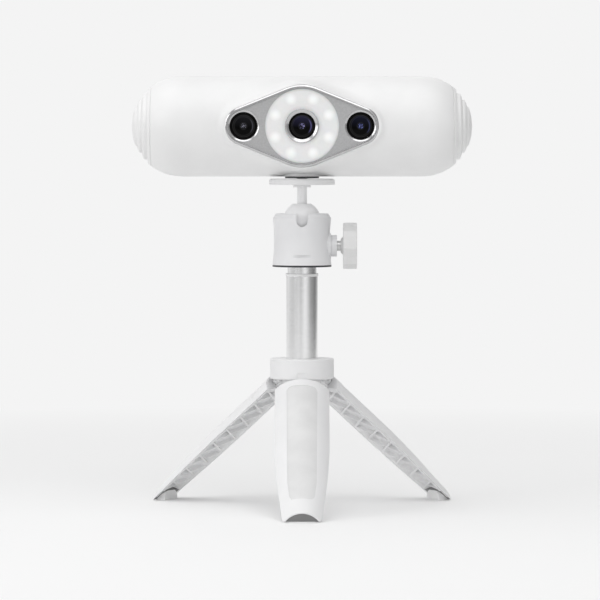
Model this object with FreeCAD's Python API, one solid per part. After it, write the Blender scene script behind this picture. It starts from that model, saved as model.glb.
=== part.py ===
import FreeCAD, Part
import math
import os

# Handheld 3-D scanner on a mini tripod that is also its hand grip.
# Millimetres. Origin on the floor under the column's axis, +Z up, the lenses face -Y.

V = FreeCAD.Vector
X_AXIS = V(1, 0, 0)
Y_AXIS = V(0, 1, 0)
Z_AXIS = V(0, 0, 1)
FAR = 400.0  # longer than anything here, for cutting tools that run right through

# Clearances
RUN = 0.05  # radial, between pieces that slide or turn in each other
GAP = 0.3  # between moving pieces that pass each other
SEAT = 0.1  # radial, between a fixed piece and the recess that it drops into

# Scanner body: a capsule lying along X
BODY_R = 30.0
BODY_LENGTH = 204.0
BODY_WALL = 2.2
SPLIT_Y = 5.0  # the seam between the front and rear shells
CAP_DEPTH = 11.7  # length of each stepped end cap
CAP_BAND = 9.8  # where its first band, which carries on the body's round end, stops
CAP_STEPS = (  # distance from the end, and radius, down the three steps
    (9.8, 19.8),
    (7.4, 19.8),
    (6.5, 17.9),
    (6.2, 15.9),
    (4.7, 15.8),
    (3.6, 13.6),
    (3.3, 12.2),
    (2.1, 11.3),
)
CAP_CROWN = (0.7, 7.0)
CAP_SPIGOT = 3.5
CAP_POCKET_R = 15.0
CAP_POCKET_DEPTH = 3.0

# Camera face: a lozenge, the hull of one large and two small circles
SIDE_LENS_R = 8.2
SIDE_BEZEL_R = SIDE_LENS_R + 1.15
RIM_WIDTH = 2.1
RIM_PROUD = 0.6
RIM_BEVEL = 0.9
FACE_R = 24.55
FACE_END_R = SIDE_BEZEL_R + 0.15 + RIM_WIDTH
LENS_SPACING = 34.6  # centre of the face to the centre of each side lens
FACE_Y = -BODY_R - 1.2  # front of the face plate
FACE_PLATE = 1.6
LAND_Y = -BODY_R - 0.8  # flat land of the front shell that carries the rim
LAND_FLARE = ((1.0, 0.5), (0.93, 1.0), (0.65, 2.6), (0.0, 5.1))  # share of that depth, and offset of its sides
FACE_FLOOR = 2.0

# Optics
CENTRE_LENS_R = 7.83
CENTRE_BEZEL_R = CENTRE_LENS_R + 2.24
BEZEL_PROUD = 0.2
BEZEL_LIP = 0.25
RING_LIGHT_R = 21.9
RING_LEDGE = 0.8
LED_CIRCLE_R = 17.0
LED_SIZE = 3.0
LED_HEIGHT = 0.7
LED_COUNT = 8
BOARD = 1.2  # thickness of every circuit board
GLASS = 0.6
BARREL_WALL = 1.4
SIDE_BARREL_END = -12.0
PROJECTOR_END = -6.0
BENCH_Y = FACE_Y + 9.7
BENCH = 2.5
BENCH_HALF = 53.0
SPREADER = 2.0
SPREADER_HALF = (47.0, 15.0)
MAIN_BOARD_Y = 4.0
MAIN_BOARD_HALF = (49.0, 19.0)

# Rear shell furniture
BUTTON_R = 6.2
BUTTON_PROUD = 1.0
BUTTON_FLANGE = 1.4
BUTTON_LIP = 1.4
BUTTON_STEM_R = 2.0
BUTTON_TRAVEL = 0.8
PORT_DROP = 14.0  # USB-C socket, below the body's axis
PORT_WIDTH = 8.94
PORT_HEIGHT = 3.26
PORT_LENGTH = 7.5
PORT_SHELL = 0.35
PORT_BOARD_HALF = 9.0
SCREW_X = 58.0
SCREW_Z = 14.0
SCREW_R = 1.5
SCREW_HEAD_R = 2.8
SCREW_HEAD = 1.8
SCREW_LENGTH = BODY_R - 8.0
BOSS_R = 3.6

# Tripod socket, top plate and ball
SOCKET_R = 10.2
SOCKET_PROUD = 1.0
SOCKET_LAND_R = SOCKET_R + 1.6  # round flat land under the body that the insert stands in
SOCKET_TOP = 8.5  # height of the insert
SOCKET_FLANGE = (12.3, 2.0)
SOCKET_LIFT = 0.35  # gap left above the plate's pad
CAMERA_SCREW_R = 3.175  # 1/4 inch thread
CAMERA_SCREW_ENTRY = 5.5
CAMERA_SCREW_HEAD = (7.0, 1.5)
PAD_R = 18.9
PAD = 0.5
PLATE_R = 19.7
PLATE = 3.15
PLATE_EDGE = 0.3
STEM_FLANGE = (5.3, 1.5)
STEM_R = 3.0
BALL_R = 11.3
BALL_FLAT = BALL_R - 1.3  # ball's centre to the flat that the stem stands on
STEM_TOP = BALL_R + 8.5  # ball's centre to the top of the stem

# Ball housing
HOUSING_WAIST_R = BALL_R + 5.45
HOUSING_TOP_R = HOUSING_WAIST_R + 0.7
HOUSING_FOOT_R = HOUSING_WAIST_R + 0.95
HOUSING_BEVEL = (1.7, 2.7)
HOUSING_FLOOR = 4.6
BALL_DEPTH = 4.1  # housing's top down to the ball's centre
NOTCH = 6.6
SEAT_HEIGHT = 6.0
CLAMP_DROP = BALL_R + 4.0  # ball's centre down to the clamp screw's axis
CLAMP_LIFT = 11.4  # that axis above the housing's underside
HOUSING_HEIGHT = CLAMP_LIFT + CLAMP_DROP + BALL_DEPTH
CLAMP_BOSS_R = 7.5
CLAMP_BOSS_X = HOUSING_WAIST_R + 0.65
CLAMP_COLLAR_R = 6.45
CLAMP_COLLAR = 3.5
CLAMP_SCREW_R = 3.1
CLAMP_SCREW_IN = -5.0
CLAMP_GAP = 2.3
KNOB_R = 14.0
KNOB_LENGTH = 9.7
KNOB_NECK_R = 4.0
KNOB_HUB_R = 5.6
KNOB_FLARE = 1.5
KNOB_EDGE = 0.5
KNOB_FLUTES = 8
KNOB_FLUTE_R = 7.5
KNOB_FLUTE_DEPTH = 0.7
KNOB_TURN = 4.9  # degrees, one ridge from the front
GASKET = 1.1
BASE_SCREW_R = 3.0
BASE_SCREW_LENGTH = 12.0
BASE_SCREW_HEAD = (5.2, 3.2)
GROOVE_HALF = 5.5
GROOVE_LIFT = 4.6
GROOVE = (1.6, 0.5)

# Column
LOWER_TUBE_R = 9.55
LOWER_TUBE_WALL = 0.75
UPPER_TUBE_R = LOWER_TUBE_R - LOWER_TUBE_WALL - RUN
UPPER_TUBE_WALL = 0.85
LOWER_TUBE_OUT = 49.4  # exposed above the collar
UPPER_TUBE_OUT = 4.1  # exposed above the white ring
UPPER_TUBE_IN = 60.0  # hidden in the lower tube
TUBE_RING = 1.6
TUBE_RING_R = LOWER_TUBE_R + 0.25
TUBE_STOP_R = LOWER_TUBE_R + 0.3
TUBE_STOP = 1.5
PLUG = 12.0

# Hub collar
SLEEVE_R = LOWER_TUBE_R + 2.05
SLEEVE_DROP = 2.6
KNUCKLE_R = 2.4
KNUCKLE_ROOM = 3.2
PIVOT_R = SLEEVE_R + KNUCKLE_R + 0.5
PIN_R = 1.2
ARM_HALF = 3.5
ARM_OUT = 1.4
LUG = 2.6
COLLAR_R = PIVOT_R + 4.7
COLLAR_HEIGHT = 12.1
COLLAR_WALL = 1.6
COLLAR_TOP = 2.2
COLLAR_EDGE = 0.7
COLLAR_LIFT = 0.3  # underside above the hinge axis
MARK = (5.5, 3.0, 0.4)
MARK_LIFT = 1.2

# Legs: heights are distances down a folded leg from its hinge
LEG_AZIMUTHS = {"front": -90.0, "left": 150.0, "right": 30.0}
LEG_OPEN = 50.0
LEG_LENGTH = 114.3  # along its flat side
LEG_TOP = 3.9
LEG_WALL = 1.8
LEG_CHORD = TUBE_STOP_R + 0.35  # flat inner side of a folded leg to the column's axis
LEG_STRAIGHT = 0.44  # share of the leg's length before its taper
LEG_TAPER = ((0.566, 0.981), (0.70, 0.94), (0.81, 0.889), (0.93, 0.828), (1.0, 0.765))
LEG_TIP_SLOPE = V(-0.4, 0, -1)  # direction of the round side at its end
LEG_END_LEAN = 27.0  # degrees that the leg's end is cut back towards its round side
LEG_TIP_RISE = 0.5  # everything but the feet stays this far off the floor
FRAME_DEPTH = 3.4
FRAME_WEB = 1.0
FRAME_RAIL = 1.4
RIB = 1.1
RIB_HEIGHT = 2.3
RIB_PITCH = 12.6
RIB_SPAN = 27.0  # width that a crossing pair of ribs covers within one pitch
FOOT_START = LEG_LENGTH - 8.9
FOOT_HEEL = (LEG_CHORD - 4.2, LEG_LENGTH - 4.9)  # from the column's axis, and down the leg
FOOT_HALF = 7.6
FOOT_CORNER = 5.0
PLUG_SUNK = 0.4
PLUG_LIP = (0.5, 3.0)  # the shell's thinner wall at its very end, and its length
PANEL_OUTLINE = ((8.9, 9.2), (LEG_LENGTH - 27.3, 8.5), (LEG_LENGTH - 13.3, 7.1))  # down the leg, half width
PANEL = 1.0
PANEL_SUNK = 0.25
PANEL_CORNER = 3.6

# Heights of the stack, from the floor up
OPEN_COS = math.cos(math.radians(LEG_OPEN))
OPEN_SIN = math.sin(math.radians(LEG_OPEN))
PIVOT_Z = FOOT_HEEL[1] * OPEN_COS + (PIVOT_R - FOOT_HEEL[0]) * OPEN_SIN
COLLAR_Z = PIVOT_Z + COLLAR_LIFT
COLLAR_TOP_Z = COLLAR_Z + COLLAR_HEIGHT
RING_Z = COLLAR_TOP_Z + LOWER_TUBE_OUT
GASKET_Z = RING_Z + TUBE_RING + UPPER_TUBE_OUT
HOUSING_Z = GASKET_Z + GASKET
HOUSING_TOP_Z = HOUSING_Z + HOUSING_HEIGHT
BALL_Z = HOUSING_TOP_Z - BALL_DEPTH
CLAMP_Z = BALL_Z - CLAMP_DROP
PLATE_Z = BALL_Z + STEM_TOP + STEM_FLANGE[1]
PAD_Z = PLATE_Z + PLATE
SOCKET_Z = PAD_Z + PAD + SOCKET_LIFT
BODY_Z = SOCKET_Z + SOCKET_PROUD + BODY_R
BALL = V(0, 0, BALL_Z)
PIVOT = V(PIVOT_R, 0, PIVOT_Z)

# Sizes that follow from the ones above
BODY_HALF = BODY_LENGTH / 2
DOME_X = BODY_HALF - BODY_R
CAP_X = BODY_HALF - CAP_DEPTH
FLOOR_Y = FACE_Y + FACE_PLATE
CAVITY_Y = FLOOR_Y + FACE_FLOOR
UPPER_BORE_R = UPPER_TUBE_R + RUN
CORE_Z = PIVOT_Z + KNUCKLE_ROOM
CORE_TOP_Z = COLLAR_TOP_Z - COLLAR_TOP
CAVITY_R = BODY_R - BODY_WALL


# ---------------------------------------------------------------- shape helpers

def rod(radius, start, end):
    """Cylinder from one point to another."""
    return Part.makeCylinder(radius, (end - start).Length, start, end - start)


def ring(outer, inner, start, end):
    """Round tube from one point to another."""
    return rod(outer, start, end).cut(rod(inner, start, end))


def upright(radius, low, high):
    """Cylinder on the column's axis between two heights."""
    return rod(radius, V(0, 0, low), V(0, 0, high))


def forward(radius, x, z, back, front):
    """Cylinder along Y at (x, z)."""
    return rod(radius, V(x, back, z), V(x, front, z))


def block(x, y, z):
    """Box from three (low, high) pairs."""
    return Part.makeBox(x[1] - x[0], y[1] - y[0], z[1] - z[0], V(x[0], y[0], z[0]))


def fused(shapes):
    """One solid from several that touch or overlap."""
    first, *rest = shapes
    return first.multiFuse(rest).removeSplitter() if rest else first


def face_of(edges):
    return Part.Face(Part.Wire(edges))


def polygon(points):
    return Part.makePolygon(points + points[:1])


def turned(profile, origin, axis):
    """Solid of revolution: the profile is (distance along the axis, radius) points."""
    outline = Part.Face(polygon([V(radius, 0, along) for along, radius in profile]))
    solid = outline.revolve(V(0, 0, 0), Z_AXIS, 360)
    solid.Placement = FreeCAD.Placement(origin, FreeCAD.Rotation(Z_AXIS, axis))
    return solid


def edges_at(shape, height):
    """Edges of a turned piece that lie wholly at one height."""
    return [
        edge
        for edge in shape.Edges
        if abs(edge.BoundBox.ZMin - height) < RUN and abs(edge.BoundBox.ZMax - height) < RUN
    ]


def edges_along_x(shape):
    return [edge for edge in shape.Edges if edge.BoundBox.YLength < RUN and edge.BoundBox.ZLength < RUN]


def keep_above(shape, height):
    """The shape without what lies below a height."""
    return shape.cut(block((-FAR, FAR), (-FAR, FAR), (height - FAR, height)))


def lozenge_wire(offset, y):
    """Outline of the camera face, grown by an offset, in the plane at y."""
    big = FACE_R + offset
    small = FACE_END_R + offset
    lean = math.acos((FACE_R - FACE_END_R) / LENS_SPACING)

    def at(side, centre, radius, angle):
        return V(side * (centre + radius * math.cos(angle)), y, BODY_Z + radius * math.sin(angle))

    edges = []
    for side in (1, -1):
        top, bottom = side * lean, -side * lean
        edges.append(Part.makeLine(at(side, 0, big, top), at(side, LENS_SPACING, small, top)))
        tip = (at(side, LENS_SPACING, small, top), at(side, LENS_SPACING, small, 0))
        edges.append(Part.Arc(*tip, at(side, LENS_SPACING, small, bottom)).toShape())
        edges.append(Part.makeLine(at(side, LENS_SPACING, small, bottom), at(side, 0, big, bottom)))
        crown = V(0, y, BODY_Z - side * big)
        edges.append(Part.Arc(at(side, 0, big, bottom), crown, at(-side, 0, big, bottom)).toShape())
    return Part.Wire(edges)


def lozenge(sections):
    """Solid through the face's outline at several (y, offset) pairs."""
    return Part.makeLoft([lozenge_wire(offset, y) for y, offset in sections], True, True)


# ---------------------------------------------------------------- scanner body

def capsule(radius):
    """The body's round-ended form, at a given radius about the same centres."""
    tip = DOME_X + radius
    knee = radius * math.sqrt(0.5)
    left, right = V(-tip, 0, BODY_Z), V(tip, 0, BODY_Z)
    edges = [
        Part.makeLine(left, right),
        Part.Arc(right, V(DOME_X + knee, 0, BODY_Z + knee), V(DOME_X, 0, BODY_Z + radius)).toShape(),
        Part.makeLine(V(DOME_X, 0, BODY_Z + radius), V(-DOME_X, 0, BODY_Z + radius)),
        Part.Arc(V(-DOME_X, 0, BODY_Z + radius), V(-DOME_X - knee, 0, BODY_Z + knee), left).toShape(),
    ]
    return face_of(edges).revolve(V(0, 0, BODY_Z), X_AXIS, 360)


def shell_screw_places():
    return [(x, BODY_Z + z) for x in (-SCREW_X, SCREW_X) for z in (-SCREW_Z, SCREW_Z)]


def screw_head_y():
    """Depth of the screw heads' seats in the rear shell."""
    return math.sqrt(BODY_R**2 - (SCREW_Z + SCREW_HEAD_R) ** 2) - SCREW_HEAD - BODY_WALL


def body_shell():
    """Front and rear shells together, with the lands of the camera face and the tripod socket."""
    flare = [(LAND_Y * share, offset) for share, offset in reversed(LAND_FLARE)]
    form = fused([capsule(BODY_R), lozenge(flare), upright(SOCKET_LAND_R, BODY_Z - BODY_R, BODY_Z)])
    hollow = fused([capsule(CAVITY_R), lozenge([(0, -BODY_WALL), (CAVITY_Y, -BODY_WALL)])])
    bosses = [forward(BOSS_R, x, z, -BODY_R, BODY_R) for x, z in shell_screw_places()]
    solid = form.cut(hollow).fuse([boss.common(capsule(BODY_R)) for boss in bosses])
    trimmed = solid.common(block((-CAP_X, CAP_X), (-FAR, FAR), (BODY_Z - BODY_R, BODY_Z + BODY_R)))
    head_y = screw_head_y()
    tools = [upright(SOCKET_R, SOCKET_Z, SOCKET_Z + SOCKET_TOP)]
    for x, z in shell_screw_places():
        tools.append(forward(SCREW_R, x, z, head_y - SCREW_LENGTH, head_y))
        tools.append(forward(SCREW_HEAD_R + SEAT, x, z, head_y, BODY_R))
    return trimmed.cut(tools)


def front_shell(shell):
    front = shell.common(block((-FAR, FAR), (-FAR, SPLIT_Y), (0, FAR)))
    openings = [lozenge([(FLOOR_Y, -RIM_WIDTH), (FACE_Y, -RIM_WIDTH)])]
    openings.append(forward(RING_LIGHT_R - RING_LEDGE, 0, BODY_Z, CAVITY_Y, FLOOR_Y))
    for side in (-1, 1):
        openings.append(forward(SIDE_LENS_R, side * LENS_SPACING, BODY_Z, CAVITY_Y, FLOOR_Y))
    return front.cut(openings)


def rear_shell(shell):
    rear = shell.common(block((-FAR, FAR), (SPLIT_Y, FAR), (0, FAR)))
    button = forward(BUTTON_R + GAP, 0, BODY_Z, CAVITY_R - BUTTON_R, BODY_R)
    return rear.cut([button, port_form(SEAT, SPLIT_Y, BODY_R)])


def end_cap(side):
    """Stepped end, like a stack of ever smaller discs, on a spigot that plugs the shells."""
    spigot_r = math.sqrt(CAVITY_R**2 - (CAP_X - DOME_X) ** 2) - SEAT
    profile = [(CAP_X - CAP_SPIGOT, CAP_POCKET_R), (CAP_X - CAP_SPIGOT, spigot_r), (CAP_X, spigot_r)]
    for distance in (CAP_DEPTH, CAP_BAND):
        profile.append((BODY_HALF - distance, math.sqrt(BODY_R**2 - (BODY_R - distance) ** 2)))
    profile += [(BODY_HALF - distance, radius) for distance, radius in (*CAP_STEPS, CAP_CROWN)]
    profile += [(BODY_HALF, 0), (CAP_X + CAP_POCKET_DEPTH, 0), (CAP_X + CAP_POCKET_DEPTH, CAP_POCKET_R)]
    return turned(profile, V(0, 0, BODY_Z), V(side, 0, 0))


def face_rim():
    """Raised rim around the face, bevelled outwards."""
    front = FACE_Y - RIM_PROUD
    outside = lozenge([(LAND_Y, 0), (LAND_Y - RUN, 0), (front, -RIM_BEVEL)])
    return outside.cut(lozenge([(LAND_Y, -RIM_WIDTH), (front, -RIM_WIDTH)]))


def face_plate():
    plate = lozenge([(FLOOR_Y, -RIM_WIDTH), (FACE_Y, -RIM_WIDTH)])
    holes = [forward(RING_LIGHT_R, 0, BODY_Z, FLOOR_Y, FACE_Y)]
    for side in (-1, 1):
        holes.append(forward(SIDE_BEZEL_R, side * LENS_SPACING, BODY_Z, FLOOR_Y, FACE_Y))
    return plate.cut(holes)


def bezel(x, outer, inner, back, cone_back):
    """Metal ring with a conical mouth around a lens."""
    front = FACE_Y - BEZEL_PROUD
    depths = [(back, inner), (back, outer), (front, outer), (front, outer - BEZEL_LIP), (cone_back, inner)]
    return turned([(-y, radius) for y, radius in depths], V(x, 0, BODY_Z), -Y_AXIS)


def side_bezel(x):
    return bezel(x, SIDE_BEZEL_R, SIDE_LENS_R, FLOOR_Y, FLOOR_Y - GLASS)


def ring_board_y():
    """Front of the ring light's circuit board."""
    return CAVITY_Y - BOARD


def centre_glass_y():
    return ring_board_y() - GLASS / 2


def centre_bezel():
    return bezel(0, CENTRE_BEZEL_R, CENTRE_LENS_R, ring_board_y(), centre_glass_y() - GLASS)


def glass(x, radius, back):
    return forward(radius, x, BODY_Z, back, back - GLASS)


def barrel(x, radius, front, end):
    """Lens barrel with a stepped bore that is closed at the back by its sensor."""
    solid = forward(radius, x, BODY_Z, end, front)
    bore = forward(radius - BARREL_WALL, x, BODY_Z, (front + end) / 2, front)
    return solid.cut(bore)


def ring_light_diffuser():
    return ring(RING_LIGHT_R, CENTRE_BEZEL_R, V(0, FLOOR_Y, BODY_Z), V(0, FACE_Y, BODY_Z))


def ring_light_board():
    front = ring_board_y()
    return ring(RING_LIGHT_R - RING_LEDGE, CENTRE_LENS_R, V(0, CAVITY_Y, BODY_Z), V(0, front, BODY_Z))


def ring_light_leds():
    """Lights on their circle, the first half a step from the horizontal."""
    half = LED_SIZE / 2
    back = ring_board_y()
    led = block((LED_CIRCLE_R - half, LED_CIRCLE_R + half), (back - LED_HEIGHT, back), (-half, half))
    leds = []
    for index in range(LED_COUNT):
        one = led.copy()
        one.rotate(V(0, 0, 0), Y_AXIS, (index + 0.5) * 360 / LED_COUNT)
        one.translate(V(0, 0, BODY_Z))
        leds.append(one)
    return Part.makeCompound(leds)


def optical_bench():
    """Plate that fills the body's section and carries the three barrels."""
    plate = block((-BENCH_HALF, BENCH_HALF), (BENCH_Y, BENCH_Y + BENCH), (0, FAR)).common(capsule(CAVITY_R))
    holes = [forward(CENTRE_LENS_R, 0, BODY_Z, BENCH_Y, BENCH_Y + BENCH)]
    for side in (-1, 1):
        holes.append(forward(SIDE_LENS_R, side * LENS_SPACING, BODY_Z, BENCH_Y, BENCH_Y + BENCH))
    return plate.cut(holes)


def heat_spreader():
    """Channel between the bench and the main board."""
    half, tall = SPREADER_HALF
    z = (BODY_Z - tall, BODY_Z + tall)
    plate = block((-half, half), (MAIN_BOARD_Y - SPREADER, MAIN_BOARD_Y), z)
    walls = []
    for x in ((-half, SPREADER - half), (half - SPREADER, half)):
        walls.append(block(x, (BENCH_Y + BENCH, MAIN_BOARD_Y), z))
    return fused([plate] + walls)


def main_board():
    half, tall = MAIN_BOARD_HALF
    return block((-half, half), (MAIN_BOARD_Y, MAIN_BOARD_Y + BOARD), (BODY_Z - tall, BODY_Z + tall))


def scan_button():
    """Round cap with a retaining flange and a stem that reaches the main board's switch."""
    lip_y = math.sqrt(CAVITY_R**2 - (BUTTON_R + BUTTON_LIP) ** 2) - BUTTON_TRAVEL
    cap = forward(BUTTON_R, 0, BODY_Z, lip_y - BUTTON_FLANGE, BODY_R + BUTTON_PROUD)
    flange = forward(BUTTON_R + BUTTON_LIP, 0, BODY_Z, lip_y - BUTTON_FLANGE, lip_y)
    stem_end = MAIN_BOARD_Y + BOARD + BUTTON_TRAVEL + GAP
    stem = forward(BUTTON_STEM_R, 0, BODY_Z, stem_end, lip_y - BUTTON_FLANGE)
    return fused([cap, flange, stem])


def port_form(grown, back, front):
    """Stadium-shaped bar in the place of the USB-C socket."""
    half = PORT_HEIGHT / 2 + grown
    reach = (PORT_WIDTH - PORT_HEIGHT) / 2
    z = BODY_Z - PORT_DROP
    ends = [forward(half, x, z, back, front) for x in (-reach, reach)]
    return fused(ends + [block((-reach, reach), (back, front), (z - half, z + half))])


def port_front():
    return math.sqrt(BODY_R**2 - (PORT_DROP + PORT_HEIGHT) ** 2)


def usb_c_socket():
    front = port_front()
    tongue_z = BODY_Z - PORT_DROP
    reach = (PORT_WIDTH - PORT_HEIGHT) / 2
    tongue = block((-reach, reach), (front - PORT_LENGTH, front - BOARD), (tongue_z - GAP, tongue_z + GAP))
    inside = port_form(-PORT_SHELL, front - PORT_LENGTH + BOARD, front)
    return fused([port_form(0, front - PORT_LENGTH, front).cut(inside), tongue])


def port_board():
    top = BODY_Z - PORT_DROP - PORT_HEIGHT / 2
    y = (MAIN_BOARD_Y + BOARD, port_front() - BODY_WALL - BOARD)
    return block((-PORT_BOARD_HALF, PORT_BOARD_HALF), y, (top - BOARD, top))


def tripod_socket():
    """Threaded insert in the body's underside."""
    top = SOCKET_Z + SOCKET_TOP
    insert = upright(SOCKET_R, SOCKET_Z, top)
    flange = upright(SOCKET_FLANGE[0], top - SOCKET_FLANGE[1], top)
    entry = upright(CAMERA_SCREW_R + RUN, SOCKET_Z, SOCKET_Z + CAMERA_SCREW_ENTRY + GAP)
    return fused([insert, flange]).cut(entry)


def shell_screws():
    head_y = screw_head_y()
    screws = []
    for x, z in shell_screw_places():
        shank = forward(SCREW_R, x, z, head_y - SCREW_LENGTH, head_y)
        screws.append(fused([shank, forward(SCREW_HEAD_R, x, z, head_y, head_y + SCREW_HEAD)]))
    return Part.makeCompound(screws)


# ---------------------------------------------------------------- ball and head

def ball_stem():
    ball = Part.makeSphere(BALL_R, BALL)
    flat_z = BALL_Z + BALL_FLAT
    ball = ball.cut(upright(BALL_R, flat_z, flat_z + BALL_R))
    stem_top = BALL_Z + STEM_TOP
    flange = upright(STEM_FLANGE[0], stem_top, stem_top + STEM_FLANGE[1])
    return fused([ball, upright(STEM_R, flat_z - 1, stem_top), flange])


def top_plate():
    plate = upright(PLATE_R, PLATE_Z, PAD_Z)
    plate = plate.makeChamfer(PLATE_EDGE, edges_at(plate, PLATE_Z) + edges_at(plate, PAD_Z))
    head_r, head = CAMERA_SCREW_HEAD
    return plate.cut([upright(CAMERA_SCREW_R, PLATE_Z, PAD_Z), upright(head_r, PLATE_Z, PLATE_Z + head)])


def plate_pad():
    return ring(PAD_R, CAMERA_SCREW_R, V(0, 0, PAD_Z), V(0, 0, PAD_Z + PAD))


def camera_screw():
    head_r, head = CAMERA_SCREW_HEAD
    shank = upright(CAMERA_SCREW_R, PLATE_Z, SOCKET_Z + CAMERA_SCREW_ENTRY)
    return fused([upright(head_r, PLATE_Z, PLATE_Z + head), shank])


def housing_form():
    """Outer form: a slightly waisted drum with a bevelled top."""
    bevel_in, bevel_down = HOUSING_BEVEL
    shoulder = HOUSING_TOP_Z - bevel_down
    corners = [V(0, 0, HOUSING_Z), V(HOUSING_FOOT_R, 0, HOUSING_Z), V(HOUSING_TOP_R, 0, shoulder)]
    waist = V(HOUSING_WAIST_R, 0, (HOUSING_Z + shoulder) / 2)
    rim = V(HOUSING_TOP_R - bevel_in, 0, HOUSING_TOP_Z)
    top = V(0, 0, HOUSING_TOP_Z)
    edges = [
        Part.makeLine(corners[0], corners[1]),
        Part.Arc(corners[1], waist, corners[2]).toShape(),
        Part.makeLine(corners[2], rim),
        Part.makeLine(rim, top),
        Part.makeLine(top, corners[0]),
    ]
    return face_of(edges).revolve(V(0, 0, 0), Z_AXIS, 360)


def ball_housing():
    socket_r = BALL_R + RUN
    boss = rod(CLAMP_BOSS_R, V(BALL_R + COLLAR_WALL, 0, CLAMP_Z), V(CLAMP_BOSS_X, 0, CLAMP_Z))
    solid = fused([housing_form(), boss])
    half = NOTCH / 2
    notch_z = BALL_Z - STEM_R - 2 * GAP - RUN + half
    notch = [
        rod(half, V(0, -FAR, notch_z), V(0, 0, notch_z)),
        block((-half, half), (-FAR, 0), (notch_z, HOUSING_TOP_Z)),
    ]
    groove_z = HOUSING_Z + GROOVE_LIFT
    groove_y = -HOUSING_FOOT_R
    groove = block(
        (-GROOVE_HALF, GROOVE_HALF),
        (groove_y - 1, groove_y + GROOVE[1] + HOUSING_FOOT_R - HOUSING_WAIST_R),
        (groove_z, groove_z + GROOVE[0]),
    )
    tools = [
        upright(socket_r, HOUSING_Z + HOUSING_FLOOR, BALL_Z),
        Part.makeSphere(socket_r, BALL),
        upright(BASE_SCREW_R, HOUSING_Z, HOUSING_Z + HOUSING_FLOOR),
        rod(CLAMP_SCREW_R + RUN, V(0, 0, CLAMP_Z), V(CLAMP_BOSS_X, 0, CLAMP_Z)),
        groove,
    ]
    return solid.cut(tools + notch)


def ball_seat():
    """Cup that the clamp screw presses against the ball."""
    low = CLAMP_Z + CLAMP_SCREW_R + GAP
    return upright(BALL_R, low, low + SEAT_HEIGHT).cut(Part.makeSphere(BALL_R + RUN, BALL))


def base_gasket():
    return ring(HOUSING_FOOT_R, BASE_SCREW_R, V(0, 0, GASKET_Z), V(0, 0, HOUSING_Z))


def base_screw():
    head_r, head = BASE_SCREW_HEAD
    seat = HOUSING_Z + HOUSING_FLOOR
    return fused([upright(BASE_SCREW_R, seat - BASE_SCREW_LENGTH, seat), upright(head_r, seat, seat + head)])


def clamp_collar():
    start = V(CLAMP_BOSS_X, 0, CLAMP_Z)
    return ring(CLAMP_COLLAR_R, CLAMP_SCREW_R + RUN, start, start + X_AXIS * CLAMP_COLLAR)


def knob_start():
    return CLAMP_BOSS_X + CLAMP_COLLAR + CLAMP_GAP


def clamp_screw():
    tip = (CLAMP_SCREW_IN, 0)
    shoulder = (CLAMP_SCREW_IN + CLAMP_SCREW_R, CLAMP_SCREW_R)
    end = knob_start() + KNOB_FLARE
    return turned([tip, shoulder, (end, CLAMP_SCREW_R), (end, 0)], V(0, 0, CLAMP_Z), X_AXIS)


def clamp_knob():
    """Fluted knob with a flared neck."""
    start = knob_start()
    end = start + KNOB_LENGTH
    profile = [
        (start + KNOB_FLARE, 0),
        (start + KNOB_FLARE, CLAMP_SCREW_R),
        (start, CLAMP_SCREW_R),
        (start, KNOB_NECK_R),
        (start + KNOB_FLARE, KNOB_HUB_R),
        (start + KNOB_FLARE, KNOB_R - KNOB_EDGE),
        (start + KNOB_FLARE + KNOB_EDGE, KNOB_R),
        (end - KNOB_EDGE, KNOB_R),
        (end, KNOB_R - KNOB_EDGE),
        (end, 0),
    ]
    knob = turned(profile, V(0, 0, CLAMP_Z), X_AXIS)
    flutes = []
    for index in range(KNOB_FLUTES):
        angle = math.radians(KNOB_TURN + (index + 0.5) * 360 / KNOB_FLUTES)
        out = KNOB_R + KNOB_FLUTE_R - KNOB_FLUTE_DEPTH
        y, z = -out * math.cos(angle), CLAMP_Z + out * math.sin(angle)
        flutes.append(rod(KNOB_FLUTE_R, V(start, y, z), V(end, y, z)))
    return knob.cut(flutes)


# ---------------------------------------------------------------- column

def column_tube(outer, inner, low, high):
    return ring(outer, inner, V(0, 0, low), V(0, 0, high))


def lower_tube():
    return column_tube(LOWER_TUBE_R, UPPER_BORE_R, tube_stop_z(), RING_Z)


def tube_stop_z():
    """Underside of the stop ring, which rests just under the hub's sleeve."""
    return sleeve_z() - GAP - TUBE_STOP


def tube_ring():
    return column_tube(TUBE_RING_R, UPPER_BORE_R, RING_Z, RING_Z + TUBE_RING)


def tube_stop():
    low = tube_stop_z()
    return column_tube(TUBE_STOP_R, LOWER_TUBE_R, low, low + TUBE_STOP)


def upper_tube():
    low = RING_Z - UPPER_TUBE_IN
    return column_tube(UPPER_TUBE_R, UPPER_TUBE_R - UPPER_TUBE_WALL, low, GASKET_Z - RUN)


def upper_plug():
    top = GASKET_Z - RUN
    return column_tube(UPPER_TUBE_R - UPPER_TUBE_WALL, BASE_SCREW_R + RUN, top - PLUG, top)


# ---------------------------------------------------------------- hub and legs

def sleeve_z():
    return PIVOT_Z - SLEEVE_DROP


def around(shape, name):
    """Turn a shape made on the +X side to a leg's place around the column."""
    placed = shape.copy()
    placed.rotate(V(0, 0, 0), Z_AXIS, LEG_AZIMUTHS[name])
    return placed


def opened(shape, name):
    """Swing a leg's piece from its folded place to its open place."""
    placed = shape.copy()
    placed.rotate(PIVOT, Y_AXIS, -LEG_OPEN)
    return around(placed, name)


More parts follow.
